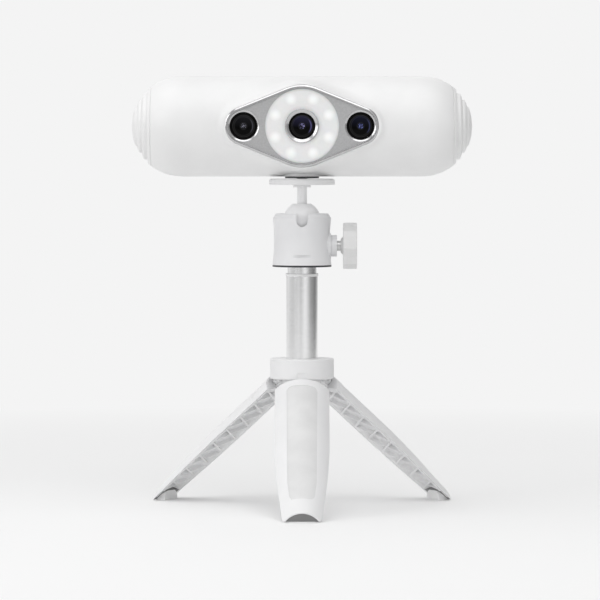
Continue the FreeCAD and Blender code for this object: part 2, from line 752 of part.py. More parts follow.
def hub_collar():
    """Round cap over the hinges, with a small blank mark low on its front."""
    solid = upright(COLLAR_R, COLLAR_Z, COLLAR_TOP_Z)
    solid = solid.makeFillet(COLLAR_EDGE, edges_at(solid, COLLAR_Z) + edges_at(solid, COLLAR_TOP_Z))
    wide, tall, deep = MARK
    low = COLLAR_Z + MARK_LIFT
    mark = block((-wide / 2, wide / 2), (-COLLAR_R - 1, deep - COLLAR_R), (low, low + tall))
    inside = upright(COLLAR_R - COLLAR_WALL, COLLAR_Z, CORE_TOP_Z)
    return solid.cut([inside, upright(LOWER_TUBE_R + RUN, COLLAR_Z, COLLAR_TOP_Z), mark])


def hub_core():
    """Guide sleeve for the column, with a pair of hinge lugs for each leg."""
    core_r = COLLAR_R - COLLAR_WALL - SEAT
    disc = upright(core_r, CORE_Z, CORE_TOP_Z)
    sleeve = upright(SLEEVE_R, sleeve_z(), CORE_TOP_Z)
    lugs = []
    for name in LEG_AZIMUTHS:
        for side in (-1, 1):
            near = ARM_HALF + GAP / 2
            y = sorted((side * near, side * (near + LUG)))
            web = block((PIVOT_R - KNUCKLE_R, PIVOT_R + KNUCKLE_R), y, (PIVOT_Z, CORE_Z))
            eye = rod(KNUCKLE_R, V(PIVOT_R, y[0], PIVOT_Z), V(PIVOT_R, y[1], PIVOT_Z))
            hole = rod(PIN_R, V(PIVOT_R, y[0], PIVOT_Z), V(PIVOT_R, y[1], PIVOT_Z))
            lug = web.fuse(eye).cut(hole).common(upright(core_r, 0, CORE_Z))
            lugs.append(around(lug, name))
    bore = upright(LOWER_TUBE_R + RUN, sleeve_z(), CORE_TOP_Z)
    return fused([disc, sleeve] + lugs).cut(bore)


def hinge_pins():
    reach = ARM_HALF + GAP / 2 + LUG - SEAT
    pin = rod(PIN_R, V(PIVOT_R, -reach, PIVOT_Z), V(PIVOT_R, reach, PIVOT_Z))
    return Part.makeCompound([around(pin, name) for name in LEG_AZIMUTHS])


def leg_bundle(inset):
    """Outer form of the three folded legs together, drawn in by an inset on every side."""
    top = PIVOT_Z - LEG_TOP - inset
    tip = PIVOT_Z - LEG_LENGTH
    start = V(COLLAR_R - inset, 0, PIVOT_Z - LEG_STRAIGHT * LEG_LENGTH)
    points = [start]
    for along, share in LEG_TAPER:
        points.append(V(COLLAR_R * share - inset, 0, PIVOT_Z - along * LEG_LENGTH))
    curve = Part.BSplineCurve()
    curve.interpolate(Points=points, InitialTangent=V(0, 0, -1), FinalTangent=LEG_TIP_SLOPE)
    edges = [
        Part.makeLine(V(0, 0, top), V(COLLAR_R - inset, 0, top)),
        Part.makeLine(V(COLLAR_R - inset, 0, top), start),
        curve.toShape(),
        Part.makeLine(points[-1], V(0, 0, tip)),
        Part.makeLine(V(0, 0, tip), V(0, 0, top)),
    ]
    return face_of(edges).revolve(V(0, 0, 0), Z_AXIS, 360)


def leg_end(sunk):
    """Everything beyond a folded leg's slanting end, or beyond a plane sunk into that end."""
    toe = V(LEG_CHORD, 0, PIVOT_Z - LEG_LENGTH + sunk)
    beyond = block((toe.x - FAR, toe.x + FAR), (-FAR, FAR), (toe.z - FAR, toe.z))
    beyond.rotate(toe, Y_AXIS, -LEG_END_LEAN)
    return beyond


def leg_part(inset, near, far):
    """Slice of the bundle between two distances from the column's axis, on the +X side."""
    return leg_bundle(inset).common(block((near, far), (-FAR, FAR), (-FAR, FAR)))


def panel_prism():
    """Tapering outline of the grip panel, with round corners, as a bar through the leg."""
    one_side = [V(LEG_CHORD, half, PIVOT_Z - along) for along, half in PANEL_OUTLINE]
    other_side = [V(LEG_CHORD, -half, PIVOT_Z - along) for along, half in reversed(PANEL_OUTLINE)]
    bar = Part.Face(polygon(one_side + other_side)).extrude(X_AXIS * COLLAR_R)
    return bar.makeFillet(PANEL_CORNER, edges_along_x(bar))


def leg_mouth():
    """Wider bore at a leg's very end, for the lip of its plug."""
    lip, length = PLUG_LIP
    low = PIVOT_Z - LEG_LENGTH
    return leg_part(lip, 0, FAR).common(block((0, FAR), (-FAR, FAR), (low, low + length)))


def leg_shell():
    """Outer shell of a leg, folded: a part of the round bundle, open on its flat side and at its end."""
    outside = leg_part(0, LEG_CHORD, FAR)
    inside = leg_part(LEG_WALL, 0, FAR)
    top = PIVOT_Z - LEG_TOP
    arm_y = ARM_HALF + GAP
    arm_way = block((0, PIVOT_R + ARM_OUT + GAP), (-arm_y, arm_y), (top - LEG_WALL, top))
    pocket = panel_prism().cut(leg_part(PANEL, 0, FAR))
    return outside.cut([inside, arm_way, pocket, leg_mouth(), leg_end(0)])


def leg_grip():
    panel = leg_part(PANEL_SUNK, LEG_CHORD, FAR).common(panel_prism())
    return panel.cut(leg_part(PANEL, 0, FAR))


def rib_lattice(top, bottom):
    """Crossed diagonal ribs along the leg."""
    half = math.hypot(RIB_SPAN, RIB_PITCH) / 2 + RIB
    lean = math.degrees(math.atan2(RIB_SPAN, RIB_PITCH))
    x = LEG_CHORD + FRAME_DEPTH - FRAME_WEB - RIB_HEIGHT
    ribs = []
    count = int((top - bottom) / RIB_PITCH) + 1
    for index in range(count):
        z = top - (index + 0.5) * RIB_PITCH
        for side in (-1, 1):
            rib = block((x, x + RIB_HEIGHT), (-RIB / 2, RIB / 2), (z - half, z + half))
            rib.rotate(V(x, 0, z), X_AXIS, side * lean)
            ribs.append(rib)
    return ribs


def leg_frame():
    """Ribbed inner frame with the hinge arm."""
    back = LEG_CHORD + FRAME_DEPTH
    top = PIVOT_Z - LEG_TOP - LEG_WALL
    bottom = PIVOT_Z - FOOT_START
    room = block((0, FAR), (-FAR, FAR), (bottom, top))
    inside = leg_part(LEG_WALL, LEG_CHORD, back).common(room)
    rail = inside.cut(leg_part(LEG_WALL + FRAME_RAIL, 0, FAR))
    web = inside.common(block((back - FRAME_WEB, back), (-FAR, FAR), (-FAR, FAR)))
    ribs = [rib.common(inside) for rib in rib_lattice(top, bottom)]
    arm = block((PIVOT_R - KNUCKLE_R, PIVOT_R + ARM_OUT), (-ARM_HALF, ARM_HALF), (top - LEG_TOP, PIVOT_Z))
    ends = (V(PIVOT_R, -ARM_HALF, PIVOT_Z), V(PIVOT_R, ARM_HALF, PIVOT_Z))
    frame = fused([web, rail, arm, rod(KNUCKLE_R, *ends)] + ribs)
    return frame.cut(rod(PIN_R + RUN, *ends))


def leg_plug():
    """Solid end that closes the shell's tip."""
    start = PIVOT_Z - FOOT_START
    below = block((LEG_CHORD, FAR), (-FAR, FAR), (start - FAR, start))
    return fused([leg_part(LEG_WALL, LEG_CHORD, FAR), leg_mouth()]).common(below).cut(leg_end(PLUG_SUNK))


def leg_foot():
    """Wedge-shaped pad under the leg's tip, rounded at the top; folded, the three meet round the axis."""
    start = PIVOT_Z - FOOT_START
    heel = V(FOOT_HEEL[0], -FAR, PIVOT_Z - FOOT_HEEL[1])
    toe = heel + V(1, 0, -OPEN_SIN / OPEN_COS) * (LEG_CHORD - FOOT_HEEL[0])
    wedge = Part.Face(polygon([V(LEG_CHORD, -FAR, start), heel, toe])).extrude(Y_AXIS * 2 * FAR)
    outline = block((0, LEG_CHORD), (-FOOT_HALF, FOOT_HALF), (toe.z, start))
    corners = [edge for edge in edges_along_x(outline) if edge.BoundBox.ZMin > toe.z]
    return wedge.common(outline.makeFillet(FOOT_CORNER, corners))


# ---------------------------------------------------------------- all the pieces

def pieces():
    """Every piece by name, in its place with the legs open and the column drawn out."""
    shell = body_shell()
    made = {
        "front_shell": front_shell(shell),
        "rear_shell": rear_shell(shell),
        "end_cap_left": end_cap(-1),
        "end_cap_right": end_cap(1),
        "face_rim": face_rim(),
        "face_plate": face_plate(),
        "lens_bezel_left": side_bezel(-LENS_SPACING),
        "lens_bezel_right": side_bezel(LENS_SPACING),
        "lens_bezel_centre": centre_bezel(),
        "lens_glass_left": glass(-LENS_SPACING, SIDE_LENS_R, FLOOR_Y),
        "lens_glass_right": glass(LENS_SPACING, SIDE_LENS_R, FLOOR_Y),
        "lens_glass_centre": glass(0, CENTRE_LENS_R, centre_glass_y()),
        "camera_barrel_left": barrel(-LENS_SPACING, SIDE_LENS_R, FLOOR_Y, SIDE_BARREL_END),
        "camera_barrel_right": barrel(LENS_SPACING, SIDE_LENS_R, FLOOR_Y, SIDE_BARREL_END),
        "projector_barrel": barrel(0, CENTRE_LENS_R, centre_glass_y(), PROJECTOR_END),
        "ring_light_diffuser": ring_light_diffuser(),
        "ring_light_board": ring_light_board(),
        "ring_light_leds": ring_light_leds(),
        "optical_bench": optical_bench(),
        "heat_spreader": heat_spreader(),
        "main_board": main_board(),
        "scan_button": scan_button(),
        "usb_c_socket": usb_c_socket(),
        "port_board": port_board(),
        "tripod_socket": tripod_socket(),
        "shell_screws": shell_screws(),
        "plate_pad": plate_pad(),
        "top_plate": top_plate(),
        "camera_screw": camera_screw(),
        "ball_stem": ball_stem(),
        "ball_housing": ball_housing(),
        "ball_seat": ball_seat(),
        "base_gasket": base_gasket(),
        "base_screw": base_screw(),
        "clamp_collar": clamp_collar(),
        "clamp_screw": clamp_screw(),
        "clamp_knob": clamp_knob(),
        "upper_tube": upper_tube(),
        "upper_plug": upper_plug(),
        "lower_tube": lower_tube(),
        "tube_ring": tube_ring(),
        "tube_stop": tube_stop(),
        "hub_collar": hub_collar(),
        "hub_core": hub_core(),
        "hinge_pins": hinge_pins(),
    }
    leg = {"frame": leg_frame(), "grip": leg_grip(), "foot": leg_foot()}
    ends = {"shell": leg_shell(), "plug": leg_plug()}
    for name in LEG_AZIMUTHS:
        for kind, shape in leg.items():
            made[f"leg_{name}_{kind}"] = opened(shape, name)
        for kind, shape in ends.items():
            made[f"leg_{name}_{kind}"] = keep_above(opened(shape, name), LEG_TIP_RISE)
    return made


os.makedirs("parts", exist_ok=True)
for node, solid in pieces().items():
    solid.exportStep(f"parts/{node}.step")
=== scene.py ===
import math

import bmesh
import bpy
import numpy as np
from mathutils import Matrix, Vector


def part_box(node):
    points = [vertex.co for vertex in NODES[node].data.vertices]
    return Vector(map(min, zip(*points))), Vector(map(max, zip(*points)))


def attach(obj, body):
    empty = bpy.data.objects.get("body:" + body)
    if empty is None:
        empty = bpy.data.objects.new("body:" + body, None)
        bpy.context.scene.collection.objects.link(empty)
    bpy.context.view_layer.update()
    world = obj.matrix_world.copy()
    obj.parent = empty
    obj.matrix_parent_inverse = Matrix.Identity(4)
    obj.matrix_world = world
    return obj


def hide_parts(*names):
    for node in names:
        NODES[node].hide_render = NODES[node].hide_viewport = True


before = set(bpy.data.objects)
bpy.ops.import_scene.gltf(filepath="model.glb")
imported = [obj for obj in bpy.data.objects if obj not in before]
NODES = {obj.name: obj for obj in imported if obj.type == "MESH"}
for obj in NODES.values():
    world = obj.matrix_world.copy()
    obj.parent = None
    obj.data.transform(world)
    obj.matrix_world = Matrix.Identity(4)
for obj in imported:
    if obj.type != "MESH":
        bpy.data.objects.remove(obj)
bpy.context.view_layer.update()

# Handheld 3-D scanner on its mini tripod, in metres. +Z up, the lenses face -Y, the floor is z = 0.

MM = 0.001
CAD_MERGE = 0.000001  # points of a CAD mesh nearer than this become one
MERGE = 0.000002  # and those of a made mesh
Z_AXIS = Vector((0, 0, 1))

# ------------------------------------------------------------------ sizes of the scanner, in mm

BODY_LOW, BODY_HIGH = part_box("rear_shell")
CAP_LOW, CAP_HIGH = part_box("end_cap_right")
RIM_LOW, RIM_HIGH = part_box("face_rim")
BODY_Z = (CAP_LOW.z + CAP_HIGH.z) / 2 / MM
BODY_R = 30.0
WALL = 2.2
BODY_HALF = CAP_HIGH.x / MM
CAP_X = BODY_HIGH.x / MM
DOME_X = BODY_HALF - BODY_R
SEAM_Y = BODY_LOW.y / MM
SOCKET_HOLE_R = 10.25
LAND_HOLE_R = 10.3
LAND_R = 11.8  # round land of the tripod socket
LAND_RISE = 3.4
FACE_R = 24.55
FACE_END_R = 11.6
LENS_SPACING = 34.6
SIDE_LENS_R = 8.2
LED_CIRCLE_R = 17.0
LED_COUNT = 8
LED_STEP = 2 * math.pi / LED_COUNT
GLOW_R = 4.5  # reach of the soft glow in front of each light
RIM_WIDTH = 2.1
RIM_FRONT = RIM_LOW.y / MM
LAND_Y = RIM_HIGH.y / MM
PLATE_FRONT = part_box("face_plate")[0].y / MM
POCKET_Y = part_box("face_plate")[1].y / MM
LIGHT_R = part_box("ring_light_diffuser")[1].x / MM
FORWARD = (0, -1, 0)  # the way the lenses look
FLARE = ((-30.8, 0.5), (-28.6, 1.0), (-20.0, 2.6), (0.0, 5.1))  # depth, and the camera land's growth there
BLEND = ((-24.0, 4.5), (-6.0, 0.2))  # depth, and width of the blend from the land to the body there
LAND_EDGE = 0.7  # rounding of the camera land's front edge
FLARE_LEAN = 0.97  # turns a distance in the face's plane into one square to the flared side

# ------------------------------------------------------------------ shader nodes

def add_node(tree, kind, **settings):
    node = tree.nodes.new(kind)
    for key, value in settings.items():
        if key in node.inputs:
            node.inputs[key].default_value = value
        else:
            setattr(node, key, value)
    return node


def math_node(tree, operation, first, second=None):
    """One arithmetic step on sockets or plain values."""
    node = add_node(tree, "ShaderNodeMath", operation=operation)
    for index, value in enumerate((first, second)):
        if value is None:
            continue
        if isinstance(value, (int, float)):
            node.inputs[index].default_value = value
        else:
            tree.links.new(value, node.inputs[index])
    return node.outputs["Value"]


def object_coordinates(tree, scale=(1, 1, 1)):
    place = add_node(tree, "ShaderNodeTexCoord")
    stretch = add_node(tree, "ShaderNodeMapping")
    stretch.inputs["Scale"].default_value = scale
    tree.links.new(place.outputs["Object"], stretch.inputs["Vector"])
    return stretch.outputs["Vector"]


def noise(tree, scale, detail=3.0, stretch=(1, 1, 1)):
    node = add_node(tree, "ShaderNodeTexNoise", Scale=scale, Detail=detail)
    tree.links.new(object_coordinates(tree, stretch), node.inputs["Vector"])
    return node.outputs["Fac"]


def ramp(tree, value, low, high, at=(0.0, 1.0)):
    """The value turned into a colour between two, over part of its range."""
    node = add_node(tree, "ShaderNodeValToRGB")
    first, last = node.color_ramp.elements
    first.position, last.position = at
    first.color, last.color = (*low, 1), (*high, 1)
    tree.links.new(value, node.inputs["Fac"])
    return node.outputs["Color"]


def bands(tree, value, stops):
    """Colour by value, through (position, brightness or colour) stops."""
    node = add_node(tree, "ShaderNodeValToRGB")
    elements = node.color_ramp.elements
    while len(elements) < len(stops):
        elements.new(0.5)
    for element, (position, color) in zip(elements, stops):
        element.position = position
        element.color = (*color, 1) if isinstance(color, tuple) else (color, color, color, 1)
    tree.links.new(value, node.inputs["Fac"])
    return node.outputs["Color"]


def mixed(tree, share, first, second, blend="MIX"):
    node = add_node(tree, "ShaderNodeMix", data_type="RGBA", blend_type=blend)
    for socket, value in ((node.inputs[0], share), (node.inputs[6], first), (node.inputs[7], second)):
        if isinstance(value, (int, float)):
            socket.default_value = value
        elif isinstance(value, tuple):
            socket.default_value = (*value, 1)
        else:
            tree.links.new(value, socket)
    return node.outputs[2]


def spread(tree, value, low, high):
    node = add_node(tree, "ShaderNodeMapRange")
    node.inputs["To Min"].default_value = low
    node.inputs["To Max"].default_value = high
    tree.links.new(value, node.inputs["Value"])
    return node.outputs["Result"]


def spread_from(tree, value, low, high):
    """The value's place between two others, as 0 to 1."""
    node = add_node(tree, "ShaderNodeMapRange")
    node.inputs["From Min"].default_value = low
    node.inputs["From Max"].default_value = high
    tree.links.new(value, node.inputs["Value"])
    return node.outputs["Result"]


def bump(tree, bsdf, height, strength, distance):
    node = add_node(tree, "ShaderNodeBump", Strength=strength, Distance=distance)
    tree.links.new(height, node.inputs["Height"])
    tree.links.new(node.outputs["Normal"], bsdf.inputs["Normal"])


def shade_of(color, factor):
    return tuple(min(1.0, channel * factor) for channel in color)


# ------------------------------------------------------------------ camera and studio

VIEW_DISTANCE = 2.26
VIEW_HEIGHT = 0.212
VIEW_WIDTH = 0.36  # how much of the scene the picture's width covers at the column's axis
AIM = Vector((-0.0012, 0, 0.1243))
SENSOR = 36.0
SKY_STRENGTH = 0.91
SKY_AROUND = [  # share of a turn from straight behind, by the left, and the sky's brightness there
    (0.0, 0.9), (0.17, 1.30), (0.25, 1.05), (0.33, 0.86), (0.44, 0.80), (0.475, 0.52), (0.50, 0.85),
    (0.56, 1.35), (0.61, 1.0), (0.665, 0.50), (0.80, 0.24), (0.87, 0.7), (1.0, 0.9),
]
SKY_UPWARD = [(0.0, 0.35), (0.47, 0.62), (0.52, 0.80), (1.0, 0.85)]


def set_camera():
    data = bpy.data.cameras.new("camera")
    data.sensor_width = SENSOR
    data.lens = SENSOR * VIEW_DISTANCE / VIEW_WIDTH
    camera = bpy.data.objects.new("camera", data)
    camera.location = (AIM.x, -VIEW_DISTANCE, VIEW_HEIGHT)
    camera.rotation_euler = (AIM - camera.location).to_track_quat("-Z", "Y").to_euler()
    bpy.context.scene.collection.objects.link(camera)
    bpy.context.scene.camera = camera


def area_light(name, place, aim, size, watts):
    data = bpy.data.lights.new(name, "AREA")
    data.shape = "RECTANGLE"
    data.size, data.size_y = size
    data.energy = watts
    light = bpy.data.objects.new(name, data)
    light.location = place
    light.rotation_euler = (Vector(aim) - Vector(place)).to_track_quat("-Z", "Y").to_euler()
    bpy.context.scene.collection.objects.link(light)


def set_studio():
    """Soft light from a bright upper left; the sky is darker to the right and below the horizon."""
    world = bpy.data.worlds.new("studio")
    world.use_nodes = True
    tree = world.node_tree
    background = tree.nodes["Background"]
    direction = tree.nodes.new("ShaderNodeTexCoord").outputs["Generated"]
    split = tree.nodes.new("ShaderNodeSeparateXYZ")
    tree.links.new(direction, split.inputs["Vector"])
    frontward = math_node(tree, "MULTIPLY", split.outputs["Y"], -1.0)
    azimuth = math_node(tree, "ARCTAN2", split.outputs["X"], frontward)
    around = bands(tree, spread_from(tree, azimuth, -math.pi, math.pi), SKY_AROUND)
    upward = bands(tree, spread_from(tree, split.outputs["Z"], -1.0, 1.0), SKY_UPWARD)
    tree.links.new(mixed(tree, 1.0, around, upward, "MULTIPLY"), background.inputs["Color"])
    background.inputs["Strength"].default_value = SKY_STRENGTH
    bpy.context.scene.world = world
    area_light("top_softbox", (0.0, -0.6, 1.6), (0, -0.1, 0.15), (1.5, 1.8), 12.5)
    area_light("left_softbox", (-1.3, -1.0, 0.7), (0, 0, 0.14), (0.6, 1.0), 4.0)
    bpy.context.scene.view_settings.view_transform = "Standard"
    bpy.context.scene.view_settings.look = "None"


# ------------------------------------------------------------------ materials

def shader(name, color, rough, metallic=0.0, **inputs):
    """A principled material, with its base colour and named inputs set."""
    material = bpy.data.materials.new(name)
    material.use_nodes = True
    bsdf = material.node_tree.nodes["Principled BSDF"]
    bsdf.inputs["Base Color"].default_value = (*color, 1)
    bsdf.inputs["Roughness"].default_value = rough
    bsdf.inputs["Metallic"].default_value = metallic
    for key, value in inputs.items():
        bsdf.inputs[key.replace("_", " ")].default_value = value
    return material, material.node_tree, bsdf


def moulded(name, color, rough, grain=2400.0, depth=0.00002, **inputs):
    """Moulded plastic: a fine grain, a faint mottle in its colour and uneven gloss."""
    material, tree, bsdf = shader(name, color, rough, **inputs)
    cloud = noise(tree, 45.0, 4.0)
    tint = ramp(tree, cloud, shade_of(color, 0.975), shade_of(color, 1.025), (0.3, 0.7))
    tree.links.new(tint, bsdf.inputs["Base Color"])
    patchy = noise(tree, 160.0, 3.0)
    tree.links.new(spread(tree, patchy, rough * 0.88, rough * 1.12), bsdf.inputs["Roughness"])
    bump(tree, bsdf, noise(tree, grain, 2.0), 0.35, depth)
    return material


def blasted(name, color, rough):
    """Bead-blasted and anodised metal: a dense sparkle of tiny pits."""
    material, tree, bsdf = shader(name, color, rough, 0.3)
    pits = add_node(tree, "ShaderNodeTexVoronoi", Scale=3200.0)
    tree.links.new(object_coordinates(tree), pits.inputs["Vector"])
    tint = ramp(tree, noise(tree, 900.0, 5.0), shade_of(color, 0.94), shade_of(color, 1.06), (0.35, 0.65))
    tree.links.new(tint, bsdf.inputs["Base Color"])
    tree.links.new(spread(tree, noise(tree, 220.0), rough * 0.9, rough * 1.15), bsdf.inputs["Roughness"])
    bump(tree, bsdf, pits.outputs["Distance"], 0.3, 0.00002)
    return material


def turned_metal(name, color, rough, stretch):
    """Metal with fine tool lines across the given stretch of its coordinates."""
    material, tree, bsdf = shader(name, color, rough, 1.0)
    lines = noise(tree, 260.0, 6.0, stretch)
    tint = ramp(tree, lines, shade_of(color, 0.93), shade_of(color, 1.05), (0.3, 0.7))
    tree.links.new(tint, bsdf.inputs["Base Color"])
    tree.links.new(spread(tree, lines, rough * 0.85, rough * 1.25), bsdf.inputs["Roughness"])
    bump(tree, bsdf, lines, 0.12, 0.00002)
    return material


def rubbery(name, color, rough):
    """Soft-touch rubber with a fine leathery cell."""
    material, tree, bsdf = shader(name, color, rough, Sheen_Weight=0.15)
    cells = add_node(tree, "ShaderNodeTexVoronoi", Scale=1500.0)
    tree.links.new(object_coordinates(tree), cells.inputs["Vector"])
    tint = ramp(tree, noise(tree, 70.0, 4.0), shade_of(color, 0.95), shade_of(color, 1.04), (0.3, 0.7))
    tree.links.new(tint, bsdf.inputs["Base Color"])
    tree.links.new(spread(tree, noise(tree, 300.0), rough * 0.92, rough * 1.06), bsdf.inputs["Roughness"])
    bump(tree, bsdf, cells.outputs["Distance"], 0.4, 0.00004)
    return material


def face_coordinates(tree, x, z):
    """Distance across and up from a centre on the camera face, and the radius from it, in metres."""
    split = add_node(tree, "ShaderNodeSeparateXYZ")
    tree.links.new(object_coordinates(tree), split.inputs["Vector"])
    across = math_node(tree, "SUBTRACT", split.outputs["X"], x * MM)
    up = math_node(tree, "SUBTRACT", split.outputs["Z"], z * MM)
    squares = [math_node(tree, "MULTIPLY", value, value) for value in (across, up)]
    return across, up, math_node(tree, "SQRT", math_node(tree, "ADD", *squares))


LENS_BANDS = [  # share of the side lens's radius, and the brightness there
    (0.0, 0.008), (0.20, 0.002), (0.26, 0.018), (0.29, 0.002), (0.62, 0.002), (0.68, 0.016), (0.71, 0.002),
    (0.79, 0.022), (0.82, 0.002), (0.93, 0.003), (1.0, 0.008),
]


def lens_glass(name, x, tint):
    """Coated lens: black retaining rings and faint lighter rings of inner elements, a dark dome with a
    painted highlight towards its top and a painted crescent highlight on its right, both in the lens's
    tint, and a painted glint in its centre that glows.
    """
    material, tree, bsdf = shader(name, (0.002, 0.002, 0.003), 0.06, Specular_IOR_Level=0.05)
    across, up, radius = face_coordinates(tree, x, BODY_Z)
    share = math_node(tree, "DIVIDE", radius, SIDE_LENS_R * MM)
    elements = bands(tree, share, LENS_BANDS)
    # painted highlight: the dome lighter towards its top, inside its retaining rings, in the lens's tint
    rising = bands(tree, spread_from(tree, up, -0.001, 0.0055), [(0.0, 0.0), (1.0, 1.0)])
    inside = bands(tree, share, [(0.0, 1.0), (0.70, 1.0), (0.79, 0.0), (1.0, 0.0)])
    glow = mixed(tree, 1.0, rising, inside, "MULTIPLY")
    painted_top_highlight = mixed(tree, 1.0, glow, tint, "MULTIPLY")
    # painted glint: a speckled bright spot at the dome's centre, also fed to the emission so it glows
    painted_glint_speckle = bands(tree, noise(tree, 1900.0, 1.0), [(0.50, 0.0), (0.62, 1.0)])
    core = bands(tree, share, [(0.0, 1.0), (0.07, 0.9), (0.12, 0.1), (0.17, 0.55), (0.21, 0.0), (1.0, 0.0)])
    # painted crescent highlight: a bright band down the dome's right side
    edge = bands(tree, share, [(0.0, 0.0), (0.58, 0.0), (0.655, 1.0), (0.69, 0.7), (0.73, 0.0), (1.0, 0.0)])
    flank = bands(tree, spread_from(tree, across, 0.0035, 0.0052), [(0.0, 0.0), (1.0, 1.0)])
    painted_crescent_highlight = mixed(tree, 1.0, mixed(tree, 1.0, edge, flank, "MULTIPLY"), shade_of(tint, 5.0), "MULTIPLY")
    painted_glowing_glint = mixed(tree, 1.0, mixed(tree, 1.0, painted_glint_speckle, core, "MULTIPLY"), shade_of(tint, 34.0), "MULTIPLY")
    lit = mixed(tree, 1.0, mixed(tree, 1.0, elements, painted_top_highlight, "ADD"), painted_crescent_highlight, "ADD")
    colour = mixed(tree, 1.0, lit, painted_glowing_glint, "ADD")
    tree.links.new(colour, bsdf.inputs["Base Color"])
    # the painted glint glows through the emission
    tree.links.new(painted_glowing_glint, bsdf.inputs["Emission Color"])
    bsdf.inputs["Emission Strength"].default_value = 0.35
    return material


def lit_diffuser(name, color):
    """Milky ring with a soft glow in front of each of the eight lights, and painted shade darkening it next
    to the bezel and at its outer edge.
    """
    material, tree, bsdf = shader(name, color, 0.38, Subsurface_Weight=0.2, Subsurface_Scale=0.002)
    across, up, radius = face_coordinates(tree, 0.0, BODY_Z)
    angle = math_node(tree, "ARCTAN2", up, across)
    turn = math_node(tree, "DIVIDE", angle, LED_STEP)
    off = math_node(tree, "ABSOLUTE", math_node(tree, "SUBTRACT", math_node(tree, "FRACT", turn), 0.5))
    along = math_node(tree, "MULTIPLY", off, LED_CIRCLE_R * MM * LED_STEP)
    out = math_node(tree, "SUBTRACT", radius, LED_CIRCLE_R * MM)
    squares = [math_node(tree, "MULTIPLY", value, value) for value in (along, out)]
    distance = math_node(tree, "SQRT", math_node(tree, "ADD", *squares))
    share = math_node(tree, "DIVIDE", distance, GLOW_R * MM)
    glow = bands(tree, share, [(0.0, 0.9), (0.3, 0.7), (0.85, 0.0)])
    grain = ramp(tree, noise(tree, 500.0, 3.0), shade_of(color, 0.985), shade_of(color, 1.015), (0.3, 0.7))
    # painted shade: the ring darker next to the bezel and towards its outer edge, multiplied into the grain
    painted_shade_stops = [(0.0, 0.80), (0.46, 0.80), (0.56, 0.97), (0.75, 1.0), (0.93, 0.98), (1.0, 0.80)]
    painted_radial_shade = bands(tree, math_node(tree, "DIVIDE", radius, LIGHT_R * MM), painted_shade_stops)
    cloud = mixed(tree, 1.0, grain, painted_radial_shade, "MULTIPLY")
    tree.links.new(mixed(tree, glow, cloud, (0.95, 0.95, 0.95)), bsdf.inputs["Base Color"])
    tree.links.new(glow, bsdf.inputs["Emission Color"])
    bsdf.inputs["Emission Strength"].default_value = 0.06
    tree.links.new(spread(tree, noise(tree, 350.0), 0.34, 0.44), bsdf.inputs["Roughness"])
    bump(tree, bsdf, noise(tree, 1600.0, 2.0), 0.2, 0.00001)
    return material


BACKDROP = (0.905, 0.905, 0.905)
GLOW_REACH = (0.25, 0.9)  # metres out where the floor starts to glow, and where it only glows


def studio_floor():
    """Pale floor that takes shadows near the object and glows evenly further away."""
    material, tree, bsdf = shader("studio_floor", (0.9, 0.9, 0.9), 0.7, Specular_IOR_Level=0.2)
    tint = ramp(tree, noise(tree, 3.0), (0.895, 0.895, 0.895), BACKDROP)
    tree.links.new(tint, bsdf.inputs["Base Color"])
    place = add_node(tree, "ShaderNodeTexCoord")
    length = add_node(tree, "ShaderNodeVectorMath", operation="LENGTH")
    tree.links.new(place.outputs["Object"], length.inputs[0])
    glow = add_node(tree, "ShaderNodeEmission", Strength=1.0)
    glow.inputs["Color"].default_value = (*BACKDROP, 1)
    blend = add_node(tree, "ShaderNodeMixShader")
    far = bands(tree, spread_from(tree, length.outputs["Value"], *GLOW_REACH), [(0.0, 0.0), (1.0, 1.0)])
    tree.links.new(far, blend.inputs[0])
    tree.links.new(bsdf.outputs[0], blend.inputs[1])
    tree.links.new(glow.outputs[0], blend.inputs[2])
    tree.links.new(blend.outputs[0], tree.nodes["Material Output"].inputs["Surface"])
    return material


def build_materials():
    return {
        "body": moulded("satin_white_shell", (0.80, 0.80, 0.80), 0.42, Specular_IOR_Level=0.45),
        "leg": moulded("leg_white", (0.80, 0.80, 0.805), 0.5, 1800.0, 0.00004),
        "frame": moulded("frame_grey", (0.86, 0.86, 0.865), 0.55, 1500.0, 0.00004),
        "grip": rubbery("grip_grey", (0.71, 0.71, 0.71), 0.62),
        "face": blasted("face_plate_grey", (0.42, 0.42, 0.425), 0.5),
        "rim": turned_metal("rim_silver", (0.52, 0.52, 0.525), 0.16, (1, 1, 1)),
        "bezel": turned_metal("bezel_silver", (0.55, 0.55, 0.555), 0.2, (1, 14, 1)),
        "diffuser": lit_diffuser("ring_light_white", (0.81, 0.81, 0.81)),
        "led": moulded("led_white", (0.95, 0.95, 0.92), 0.3),
        "lens_left": lens_glass("lens_neutral", -LENS_SPACING, (0.008, 0.008, 0.010)),
        "lens_centre": lens_glass("lens_violet", 0.0, (0.016, 0.015, 0.038)),
        "lens_right": lens_glass("lens_blue", LENS_SPACING, (0.006, 0.007, 0.018)),
        "barrel": moulded("barrel_black", (0.012, 0.012, 0.013), 0.4),
        "board": moulded("board_green", (0.02, 0.12, 0.05), 0.4),
        "sheet": turned_metal("bare_aluminium", (0.75, 0.75, 0.76), 0.35, (20, 1, 1)),
        "tube": turned_metal("tube_aluminium", (0.88, 0.88, 0.885), 0.15, (1, 1, 25)),
        "head": moulded("head_powder_coat", (0.74, 0.74, 0.75), 0.45, 1300.0, 0.00006),
        "steel": turned_metal("plain_steel", (0.60, 0.60, 0.60), 0.3, (8, 8, 1)),
        "gasket": rubbery("dark_gasket", (0.03, 0.03, 0.033), 0.7),
        "socket": turned_metal("socket_dark", (0.10, 0.10, 0.105), 0.4, (1, 1, 6)),
        "foot": rubbery("foot_grey", (0.93, 0.93, 0.93), 0.6),
        "plug": rubbery("plug_grey", (0.21, 0.21, 0.21), 0.65),
        "ball": moulded("ball_satin", (0.87, 0.87, 0.875), 0.32, 1300.0, 0.00002),
        "knob": moulded("knob_white", (0.72, 0.72, 0.72), 0.5, 1800.0, 0.00004),
        "floor": studio_floor(),
    }


